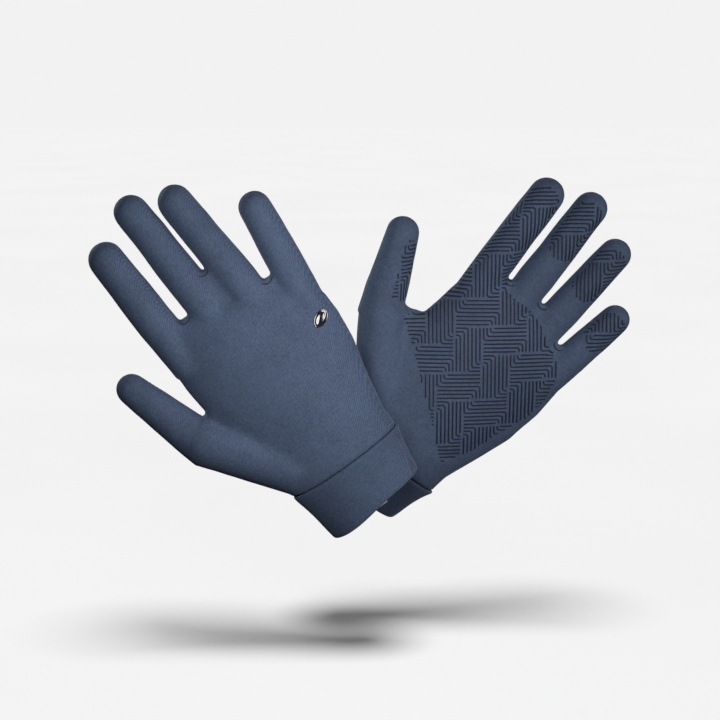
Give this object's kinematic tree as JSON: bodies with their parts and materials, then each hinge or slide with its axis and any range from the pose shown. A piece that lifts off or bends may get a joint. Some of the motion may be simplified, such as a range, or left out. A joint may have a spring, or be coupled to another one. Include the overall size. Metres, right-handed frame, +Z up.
{
  "type": "sailing gloves",
  "caption": "Pair of full-finger knit sailing gloves with folded cuffs and a raised silicone grip print on palm and fingers; each finger curls at knuckle and middle joint.",
  "frame": {"origin": "middle of the right glove's wrist opening", "axes": "+Z up, +X from the right glove towards the left glove, Y through the thickness of both gloves, with the back of the right hand and the palm of the left hand facing -Y"},
  "size_m": [0.3134, 0.085, 0.2108],
  "materials": {
    "knit": "fine stretch knit, soft sheen",
    "cuff_knit": "the same knit, folded double",
    "grip_print": "satin silicone",
    "badge": "glossy",
    "care_label": "satin tape, blank",
    "thread": "matte thread"
  },
  "bodies": {
    "right_hand": {"right_back_panel": "knit", "right_palm_panel": "knit", "right_thumb_gusset": "knit", "right_palm_print": "grip_print", "right_badge": "badge", "right_cuff_band": "cuff_knit", "right_cuff_liner": "cuff_knit", "right_care_label": "care_label", "right_crotch_tacks": "thread"},
    "right_index_near": {"right_index_lower": "knit", "right_index_lower_print": "grip_print"},
    "right_index_far": {"right_index_tip": "knit", "right_index_tip_print": "grip_print"},
    "right_middle_near": {"right_middle_lower": "knit"},
    "right_middle_far": {"right_middle_tip": "knit", "right_middle_tip_print": "grip_print"},
    "right_ring_near": {"right_ring_lower": "knit"},
    "right_ring_far": {"right_ring_tip": "knit", "right_ring_tip_print": "grip_print"},
    "right_little_near": {"right_little_lower": "knit"},
    "right_little_far": {"right_little_tip": "knit", "right_little_tip_print": "grip_print"},
    "right_thumb_near": {"right_thumb_lower": "knit", "right_thumb_lower_print": "grip_print"},
    "right_thumb_far": {"right_thumb_tip": "knit", "right_thumb_tip_print": "grip_print"},
    "left_hand": {"left_back_panel": "knit", "left_palm_panel": "knit", "left_thumb_gusset": "knit", "left_palm_print": "grip_print", "left_badge": "badge", "left_cuff_band": "cuff_knit", "left_cuff_liner": "cuff_knit", "left_care_label": "care_label", "left_crotch_tacks": "thread"},
    "left_index_near": {"left_index_lower": "knit", "left_index_lower_print": "grip_print"},
    "left_index_far": {"left_index_tip": "knit", "left_index_tip_print": "grip_print"},
    "left_middle_near": {"left_middle_lower": "knit"},
    "left_middle_far": {"left_middle_tip": "knit", "left_middle_tip_print": "grip_print"},
    "left_ring_near": {"left_ring_lower": "knit"},
    "left_ring_far": {"left_ring_tip": "knit", "left_ring_tip_print": "grip_print"},
    "left_little_near": {"left_little_lower": "knit"},
    "left_little_far": {"left_little_tip": "knit", "left_little_tip_print": "grip_print"},
    "left_thumb_near": {"left_thumb_lower": "knit", "left_thumb_lower_print": "grip_print"},
    "left_thumb_far": {"left_thumb_tip": "knit", "left_thumb_tip_print": "grip_print"}
  },
  "joints": [
    {"name": "right_index_knuckle", "type": "hinge", "parent": "right_hand", "child": "right_index_near", "pos_m": [-0.12382, 0, 0.10692], "axis": [-0.7773, 0, -0.6291], "range_deg": [0, 70]},
    {"name": "right_index_middle_joint", "type": "hinge", "parent": "right_index_near", "child": "right_index_far", "pos_m": [-0.13892, 0, 0.12558], "axis": [-0.7773, 0, -0.6291], "range_deg": [0, 85]},
    {"name": "right_middle_knuckle", "type": "hinge", "parent": "right_hand", "child": "right_middle_near", "pos_m": [-0.10444, 0, 0.12461], "axis": [-0.8023, 0, -0.5969], "range_deg": [0, 70]},
    {"name": "right_middle_middle_joint", "type": "hinge", "parent": "right_middle_near", "child": "right_middle_far", "pos_m": [-0.12234, 0, 0.14868], "axis": [-0.8023, 0, -0.5969], "range_deg": [0, 85]},
    {"name": "right_ring_knuckle", "type": "hinge", "parent": "right_hand", "child": "right_ring_near", "pos_m": [-0.08134, 0, 0.13469], "axis": [-0.7694, 0, -0.6388], "range_deg": [0, 70]},
    {"name": "right_ring_middle_joint", "type": "hinge", "parent": "right_ring_near", "child": "right_ring_far", "pos_m": [-0.09859, 0, 0.15546], "axis": [-0.7694, 0, -0.6388], "range_deg": [0, 85]},
    {"name": "right_little_knuckle", "type": "hinge", "parent": "right_hand", "child": "right_little_near", "pos_m": [-0.05131, 0, 0.13798], "axis": [-0.8857, 0, -0.4643], "range_deg": [0, 70]},
    {"name": "right_little_middle_joint", "type": "hinge", "parent": "right_little_near", "child": "right_little_far", "pos_m": [-0.06106, 0, 0.15658], "axis": [-0.8857, 0, -0.4643], "range_deg": [0, 85]},
    {"name": "right_thumb_knuckle", "type": "hinge", "parent": "right_hand", "child": "right_thumb_near", "pos_m": [-0.11179, 0, 0.04581], "axis": [-0.6016, 0, -0.7988], "range_deg": [0, 50]},
    {"name": "right_thumb_middle_joint", "type": "hinge", "parent": "right_thumb_near", "child": "right_thumb_far", "pos_m": [-0.12857, 0, 0.05845], "axis": [-0.6016, 0, -0.7988], "range_deg": [0, 65]},
    {"name": "left_index_knuckle", "type": "hinge", "parent": "left_hand", "child": "left_index_near", "pos_m": [0.07143, 0.045, 0.13866], "axis": [0.8124, 0, -0.5831], "range_deg": [0, 70]},
    {"name": "left_index_middle_joint", "type": "hinge", "parent": "left_index_near", "child": "left_index_far", "pos_m": [0.08542, 0.045, 0.15816], "axis": [0.8124, 0, -0.5831], "range_deg": [0, 85]},
    {"name": "left_middle_knuckle", "type": "hinge", "parent": "left_hand", "child": "left_middle_near", "pos_m": [0.09362, 0.045, 0.12789], "axis": [0.7988, 0, -0.6016], "range_deg": [0, 70]},
    {"name": "left_middle_middle_joint", "type": "hinge", "parent": "left_middle_near", "child": "left_middle_far", "pos_m": [0.11106, 0.045, 0.15106], "axis": [0.7988, 0, -0.6016], "range_deg": [0, 85]},
    {"name": "left_ring_knuckle", "type": "hinge", "parent": "left_hand", "child": "left_ring_near", "pos_m": [0.10902, 0.045, 0.10716], "axis": [0.7438, 0, -0.6685], "range_deg": [0, 70]},
    {"name": "left_ring_middle_joint", "type": "hinge", "parent": "left_ring_near", "child": "left_ring_far", "pos_m": [0.12573, 0.045, 0.12575], "axis": [0.7438, 0, -0.6685], "range_deg": [0, 85]},
    {"name": "left_little_knuckle", "type": "hinge", "parent": "left_hand", "child": "left_little_near", "pos_m": [0.11587, 0.045, 0.07974], "axis": [0.6706, 0, -0.7418], "range_deg": [0, 70]},
    {"name": "left_little_middle_joint", "type": "hinge", "parent": "left_little_near", "child": "left_little_far", "pos_m": [0.12996, 0.045, 0.09248], "axis": [0.6706, 0, -0.7418], "range_deg": [0, 85]},
    {"name": "left_thumb_knuckle", "type": "hinge", "parent": "left_hand", "child": "left_thumb_near", "pos_m": [0.00559, 0.045, 0.12209], "axis": [0.9669, 0, -0.2552], "range_deg": [0, 50]},
    {"name": "left_thumb_middle_joint", "type": "hinge", "parent": "left_thumb_near", "child": "left_thumb_far", "pos_m": [0.01069, 0.045, 0.14143], "axis": [0.9669, 0, -0.2552], "range_deg": [0, 65]},
    {"name": "gloves_apart", "type": "slide", "parent": "right_hand", "child": "left_hand", "axis": [1, 0, 0], "range_m": [0, 0.3]}
  ],
  "couplings": [
    {"joint": "right_index_middle_joint", "follows": "right_index_knuckle", "ratio": 1},
    {"joint": "right_middle_middle_joint", "follows": "right_middle_knuckle", "ratio": 1},
    {"joint": "right_ring_middle_joint", "follows": "right_ring_knuckle", "ratio": 1},
    {"joint": "right_little_middle_joint", "follows": "right_little_knuckle", "ratio": 1},
    {"joint": "right_thumb_middle_joint", "follows": "right_thumb_knuckle", "ratio": 1},
    {"joint": "left_index_middle_joint", "follows": "left_index_knuckle", "ratio": 1},
    {"joint": "left_middle_middle_joint", "follows": "left_middle_knuckle", "ratio": 1},
    {"joint": "left_ring_middle_joint", "follows": "left_ring_knuckle", "ratio": 1},
    {"joint": "left_little_middle_joint", "follows": "left_little_knuckle", "ratio": 1},
    {"joint": "left_thumb_middle_joint", "follows": "left_thumb_knuckle", "ratio": 1}
  ]
}
